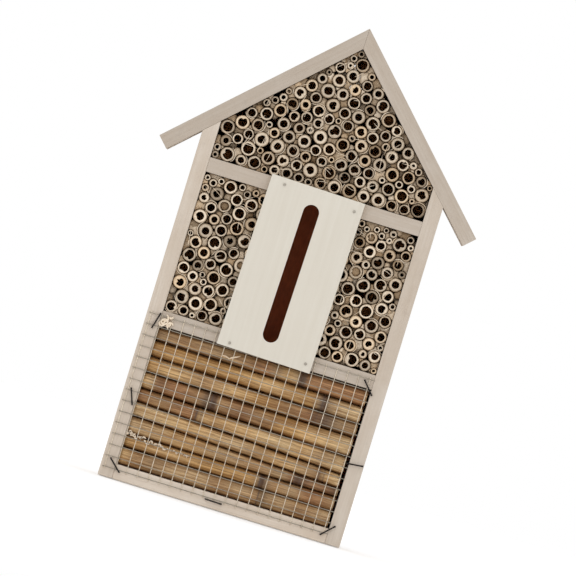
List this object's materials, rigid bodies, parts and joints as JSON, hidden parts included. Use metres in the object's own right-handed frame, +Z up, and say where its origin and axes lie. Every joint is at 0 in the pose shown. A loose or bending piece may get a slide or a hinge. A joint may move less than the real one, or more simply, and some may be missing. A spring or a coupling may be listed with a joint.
{
  "type": "insect hotel",
  "caption": "Pitched-roof wooden insect hotel with hollow reed tubes, horizontal bamboo canes behind wire mesh, and a slotted butterfly chamber.",
  "frame": {"origin": "centre of the floor board's underside, on the surface the hotel stands on", "axes": "+Z up to the ridge, +Y from the open front to the back panel, +X to the right as seen from the front"},
  "size_m": [0.198, 0.0781, 0.3],
  "materials": {
    "whitewashed_board": "matte",
    "roof_board": "matte",
    "brown_back": "matte",
    "raw_board": "matte",
    "pale_plywood": "matte",
    "dark_brad": "satin",
    "mesh_wire": "satin",
    "dark_staple": "satin",
    "nail_steel": "satin",
    "hanger_steel": "satin",
    "front_bamboo": "satin",
    "stack_bamboo": "satin",
    "reed": "matte"
  },
  "bodies": {
    "root": {"back_panel": "brown_back", "back_panel_nails": "nail_steel", "butterfly_panel": "pale_plywood", "butterfly_panel_brads": "dark_brad", "cane_stack_1": "stack_bamboo", "cane_stack_2": "stack_bamboo", "cane_stack_3": "stack_bamboo", "cane_stack_4": "stack_bamboo", "cane_stack_5": "stack_bamboo", "divider_left": "raw_board", "divider_right": "raw_board", "floor_board": "whitewashed_board", "front_cane_1": "front_bamboo", "front_cane_2": "front_bamboo", "front_cane_3": "front_bamboo", "front_cane_4": "front_bamboo", "front_cane_5": "front_bamboo", "front_cane_6": "front_bamboo", "front_cane_7": "front_bamboo", "front_cane_8": "front_bamboo", "front_cane_9": "front_bamboo", "gable_tubes_1": "reed", "gable_tubes_2": "reed", "gable_tubes_3": "reed", "gable_tubes_4": "reed", "gable_tubes_5": "reed", "gable_tubes_6": "reed", "hanger_plate": "hanger_steel", "hanger_screws": "hanger_steel", "left_tubes_1": "reed", "left_tubes_2": "reed", "left_tubes_3": "reed", "left_wall": "whitewashed_board", "left_wall_nails": "nail_steel", "lower_shelf": "whitewashed_board", "mesh_staples": "dark_staple", "right_tubes_1": "reed", "right_tubes_2": "reed", "right_tubes_3": "reed", "right_wall": "whitewashed_board", "right_wall_nails": "nail_steel", "roof_left": "roof_board", "roof_nails": "nail_steel", "roof_right": "roof_board", "upper_shelf": "whitewashed_board", "wire_mesh": "mesh_wire"}
  },
  "joints": []
}
